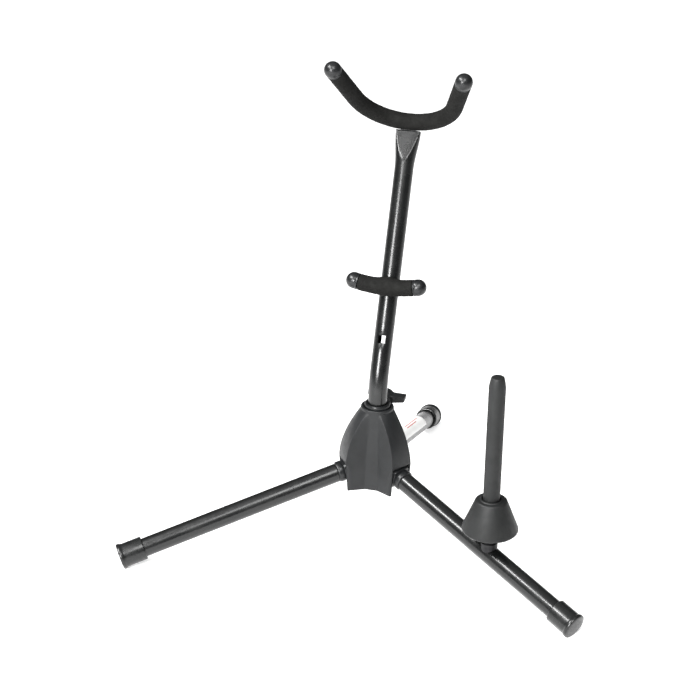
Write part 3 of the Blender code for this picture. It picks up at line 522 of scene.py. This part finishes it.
def lower_axis(across):
    """Points and tangents of the lower yoke: the parabola z = sag (x / half)^2."""
    slope = 2 * LOWER_SAG * across / LOWER_HALF ** 2
    tangent = np.stack([np.ones_like(across), 0 * across, slope], axis=-1)
    return (np.stack([across, 0 * across, LOWER_SAG * (across / LOWER_HALF) ** 2], axis=-1),
            tangent / np.linalg.norm(tangent, axis=1)[:, None])


reach = LOWER_HALF - END_SKIRT - END_GAP
edge = reach - EDGE_INSETS
edge_r = np.array([LOWER_ROD_R + BORE_GAP, LOWER_SLEEVE_R - 0.9, LOWER_SLEEVE_R - 0.3, LOWER_SLEEVE_R])
bore = np.linspace(reach, -reach, 24)
across = with_ends(np.linspace(-reach + 2, reach - 2, 60), edge)
radii = np.concatenate([edge_r, LOWER_SLEEVE_R - 0.05 + 0.05 * np.sin(across[4:-4] * 1.1), edge_r[::-1],
                        np.full(len(bore), LOWER_ROD_R + BORE_GAP)])
swell = np.concatenate([np.exp(-(across / SWELL_HALF) ** 2), 0 * bore])
across = np.concatenate([across, bore])
points, tangents = lower_axis(across)
turn = np.linspace(0, 2 * np.pi, 48, endpoint=False)
below = np.clip(np.cos(turn), 0, 1)[None, :]
over = np.clip(-np.cos(turn), 0, 1)[None, :]
ring = sweep(points * MM, tangents, radii * MM, radii * MM)
normal = np.cross(tangents, [0.0, 1.0, 0.0])
ring += (normal[:, None] * (swell[:, None] * (SWELL_BELOW * below - SWELL_ABOVE * over) * MM)[..., None])
lower_sleeve = surface("lower_foam_sleeve", placed(ring, lower_frame))
finish(lower_sleeve, foam_sleeve, "lower_yoke", "black_foam", "lower_yoke_sleeve")
repaint(black_oxide, "black_steel_rod", "lower_yoke_rod")
rise = math.atan2(2 * LOWER_SAG, LOWER_HALF)
for side, sign in (("left", -1), ("right", 1)):
    matrix = (lower_frame @ Matrix.Translation((sign * LOWER_HALF * MM, 0, LOWER_SAG * MM))
              @ Matrix.Rotation(sign * (math.pi / 2 - rise), 4, "Y"))
    cap = surface(f"lower_tip_cap_{side}", placed(lathe(cap_profile(LOWER_SLEEVE_R, LOWER_ROD_R)), matrix),
                  sharp=50)
    finish(cap, gloss_plastic, "lower_yoke", "gloss_black_plastic", f"lower_yoke_cap_{side}")

# Clamp knob: a two-eared wing knob moulded in black nylon over the screw's head. A round barrel runs through
# its middle, the ears thin out and rise to their tips, and all the edges are rounded.
knob_frame = clamp_frame @ Matrix.Rotation(math.radians(7), 4, "Z")
knob_start, barrel_r, span, edge_round = boss_end + 1.0, 7, 19.5, 1.2
EAR_START, EAR_THICK = 8, 3.9
at = span * np.sin(np.linspace(-np.pi / 2, np.pi / 2, 61))
rise = np.clip((np.abs(at) - EAR_START) / (span - EAR_START), 0, 1)
near, far = knob_start + 0.5 + 6.0 * rise, knob_start + 12.5 + 3.0 * rise
tip = np.sqrt(np.clip(1 - (np.maximum(np.abs(at) - (span - edge_round), 0) / edge_round) ** 2, 0, 1))
half_height = (far - near) / 2 - edge_round * (1 - tip)
barrel = np.sqrt(np.clip(barrel_r ** 2 - at ** 2, 0, None))
half_thick = ((EAR_THICK - 0.5 * rise) ** 6 + barrel ** 6) ** (1 / 6) - edge_round * (1 - tip)
turn = np.linspace(0, 2 * np.pi, 48, endpoint=False)
y, z = oval(half_thick * MM, half_height * MM, np.full(len(at), 7.0), turn)
knob_grid = capped(np.stack([np.broadcast_to(at[:, None] * MM, y.shape), y,
                             z + ((near + far) / 2 * MM)[:, None]], axis=-1))
knob_piece = surface("wing_knob", placed(knob_grid, knob_frame), sharp=60)
finish(knob_piece, moulded_nylon, "clamp", "black_nylon", "clamp_knob")

# Legs: painted steel tubes, each with a moulded end fitting that turns on a pin in the hub, and a flared
# rubber foot, pushed on, that is moulded with a small flat where it stands.
PIN_Z, FOOT_Z, PIN_R, FOOT_R = 84.5, 11.8, 24.4, 264.6
LEG_SLOPE = math.atan2(PIN_Z - FOOT_Z, FOOT_R - PIN_R)
LEG_LENGTH = math.hypot(PIN_Z - FOOT_Z, FOOT_R - PIN_R)
NOSE_R, COLLAR_END = 10.2, 17.1
# Satin rubber: black, with a softer and broader stripe than the tubes'.
satin_rubber = mottled("satin_moulded_rubber", ("#101111", "#151616"), 12 * MM, (0.25, 0.33), 0.6 * MM,
                       0.012 * MM, shine=0.4)


def leg_matrix(side):
    """Frame with its origin on a leg's pin, X down the leg and Z square to it, upwards."""
    low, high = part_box(f"leg_pin_{side}")
    return (Matrix.Translation((low + high) / 2) @ Matrix.Rotation(math.radians(LEG_AZIMUTHS[side]), 4, "Z")
            @ Matrix.Rotation(LEG_SLOPE, 4, "Y"))


def end_fitting(turn):
    """Loft down the leg: a round-nosed box round the pin, then a collar, then the spigot in the tube.

    The nose's half height is sqrt(r^2 - x^2); the box is a superellipse whose power falls to 2 at the collar.
    """
    nose = -NOSE_R * np.cos(np.linspace(0, np.pi / 2, 13))
    at = np.concatenate([nose, [3, 6, 9.6, 10.4, 10.5, 10.9, 11.4, 15.9, 16.4, 16.8, 16.8, 43, 43.8]])
    after = [NOSE_R, NOSE_R, NOSE_R, 9.9, 9.8, 10.3, 10.6, 10.6, 10.4, 9.9, 8.0, 8.0, 7.2]
    height = np.concatenate([np.sqrt(NOSE_R ** 2 - nose ** 2), after])
    width = np.concatenate([np.full(13, NOSE_R), after])
    power = np.concatenate([np.full(15, 9.0), [5, 2.4, 2], np.full(8, 2.0)])
    y, z = oval(width * MM, height * MM, power, turn)
    return capped(np.stack([np.broadcast_to(at[:, None] * MM, y.shape), y, z], axis=-1), both=False)


mouth, end = LEG_LENGTH - 26, LEG_LENGTH
tube_profile = [(TUBE_R, COLLAR_END), (TUBE_R, end - 4), (TUBE_R - TUBE_WALL, end - 4),
                (TUBE_R - TUBE_WALL, COLLAR_END), (TUBE_R, COLLAR_END)]
foot_profile = [(0, end - 3.6), (9.8, end - 3.6), (9.8, mouth + 0.5), (10.3, mouth), (11.3, mouth),
                (11.85, mouth + 0.35), (12.0, mouth + 1.0), (12.0, end - 6.4), (12.06, end - 5.4),
                (12.25, end - 4.6), (12.6, end - 3.9), (12.95, end - 3.5), (13.1, end - 3.0),
                (13.1, end - 1.1), (12.85, end - 0.45), (12.3, end - 0.05), (9.0, end + 0.22),
                (4.5, end + 0.42), (0, end + 0.5)]
turn = np.linspace(0, 2 * np.pi, 64, endpoint=False)
for side in LEG_AZIMUTHS:
    hinge = leg_matrix(side)
    along_leg = hinge @ Matrix.Rotation(math.radians(90), 4, "Y")
    fitting = surface(f"leg_end_fitting_{side}", placed(end_fitting(turn), hinge), sharp=40)
    soften(fitting, 0.5 * MM, 2, 40)
    finish(fitting, gloss_plastic, f"leg_{side}", "gloss_black_plastic", f"leg_knuckle_{side}")
    tube = surface(f"leg_tube_{side}_drawn", placed(lathe(tube_profile), along_leg))
    soften(tube, 0.25 * MM)
    finish(tube, black_enamel, f"leg_{side}", "black_painted_steel", f"leg_tube_{side}")
    foot_grid = placed(lathe(foot_profile, 96), along_leg)
    foot_grid[..., 2] = np.maximum(foot_grid[..., 2], 0)
    foot = surface(f"foot_cap_{side}_moulded", foot_grid, sharp=45)
    finish(foot, satin_rubber, f"leg_{side}", "black_rubber", f"foot_cap_{side}")

# Label on the rear leg: white coated paper wrapped over the tube's top and stuck down, printed with two plain
# red rules. The paper is bright with a slight sheen, the ink is flat.
LABEL_START, LABEL_END, LABEL_EDGE, LABEL_GAP = 72.3, 179.7, 12, 0.45 * MM
RULE_START, RULE_HALF, PAPER, INK = 104, 3, 0.12 * MM, 0.02 * MM
label_paper = mottled("white_coated_paper", ("#e4e4e2", "#ededeb"), 30 * MM, (0.38, 0.5), 0.4 * MM,
                      0.006 * MM)
red_ink = mottled("matt_red_printing_ink", ("#b4473f", "#bf5048"), 20 * MM, (0.5, 0.6), 0.4 * MM,
                  0.004 * MM)


def tube_patch(start, last, first_angle, last_angle, radius, steps):
    """Grid on the rear leg's tube, from start to last along it and between two angles round it."""
    x = np.linspace(start, last, steps[0])[:, None] * MM
    turn = np.radians(np.linspace(first_angle, last_angle, steps[1]))[None, :]
    grid = np.stack(np.broadcast_arrays(x, radius * np.cos(turn), radius * np.sin(turn)), axis=-1)
    return placed(grid, leg_matrix("rear"))


label_r = TUBE_R * MM + LABEL_GAP
label = surface("rear_leg_label", tube_patch(LABEL_START, LABEL_END, LABEL_EDGE, 180 - LABEL_EDGE, label_r,
                                             (40, 48)), wrap=False)
thicken(label, PAPER)
finish(label, label_paper, "leg_rear", "white_label", "leg_label")
for row, (angle, last) in enumerate(((92, 168), (110, 150))):
    rule = surface(f"label_rule_{row + 1}", tube_patch(RULE_START, last, angle - RULE_HALF, angle + RULE_HALF,
                                                       label_r + 0.03 * MM, (24, 6)), wrap=False)
    thicken(rule, INK)
    finish(rule, red_ink, "leg_rear", "white_label")

# Peg on the right leg: a screw through the tube holds a saddle and a nut, and the moulded cone and rod screw
# down onto them. Both are one matt dark ABS: the cone ends in a bead round the rod, whose tip is tapered.
rod_low, rod_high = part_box("peg_rod")
cone_low, cone_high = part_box("peg_cone")
peg_axis = np.array([(rod_low.x + rod_high.x) / 2, (rod_low.y + rod_high.y) / 2, 0.0])
cone_r, cone_top_r, cone_top = (cone_high.x - cone_low.x) / 2 / MM, 16.0, cone_high.z / MM
cone_bottom, rod_r, rod_top = 71.5, (rod_high.x - rod_low.x) / 2 / MM, rod_high.z / MM
stud_bore, rod_low_end, bore_end, rim_r = 3.3, 95.3, 116.3, 2.5
# Matt ABS: dark grey with a fine even grain.
matt_abs = mottled("matt_dark_grey_abs", ("#101111", "#161717"), 16 * MM, (0.48, 0.6), 0.55 * MM, 0.06 * MM,
                   shine=0.3)
neck_low = cone_low.z / MM
cone_profile = [(stud_bore, neck_low), (6.5, neck_low), (6.8, neck_low + 0.3), (6.8, cone_bottom + 10),
                (7.8, cone_bottom + 11), (14.0, cone_bottom + 11), (15.4, cone_bottom + 10.2),
                (cone_r - 4.6, cone_bottom + 1.4), (cone_r - 4.0, cone_bottom + 0.5),
                (cone_r - 3.0, cone_bottom), (cone_r - 2.2, cone_bottom), (cone_r - 1.2, cone_bottom + 0.4),
                (cone_r - 0.4, cone_bottom + 1.2), (cone_r, cone_bottom + 2.2),
                (cone_r - 0.1, cone_bottom + 3.2)]
cone_profile += [(cone_top_r - rim_r + rim_r * math.cos(math.radians(a)),
                  cone_top - 1.1 - rim_r + rim_r * math.sin(math.radians(a))) for a in (18, 36, 54, 72, 90)]
cone_profile += [(rod_r + 3.2, cone_top - 1.1), (rod_r + 2.9, cone_top - 0.8), (rod_r + 2.4, cone_top - 0.2),
                 (rod_r + 1.9, cone_top), (rod_r + 1.2, cone_top - 0.2), (rod_r + 0.6, cone_top - 1.2),
                 (rod_r + 0.3, 95), (stud_bore, 95), (stud_bore, neck_low)]
cone = surface("peg_cone_moulded", lathe(cone_profile, 112) + peg_axis, sharp=40)
finish(cone, matt_abs, "peg", "dark_grey_plastic", "peg_cone")
rod_profile = [(0, bore_end), (stud_bore, bore_end), (stud_bore, rod_low_end), (rod_r, rod_low_end),
               (rod_r, rod_top - 10.8), (rod_r - 0.12, rod_top - 9.6), (7.6, rod_top - 6),
               (7.0, rod_top - 3), (6.55, rod_top - 1.2), (6.2, rod_top - 0.5), (5.6, rod_top - 0.1),
               (4.9, rod_top), (0, rod_top)]
rod = surface("peg_rod_moulded", lathe(rod_profile, 64) + peg_axis, sharp=40)
finish(rod, matt_abs, "peg", "dark_grey_plastic", "peg_rod")
repaint(black_oxide, "black_steel_rod", "peg_nut", "peg_saddle")
repaint(zinc_plate, "zinc_steel", "peg_stud")
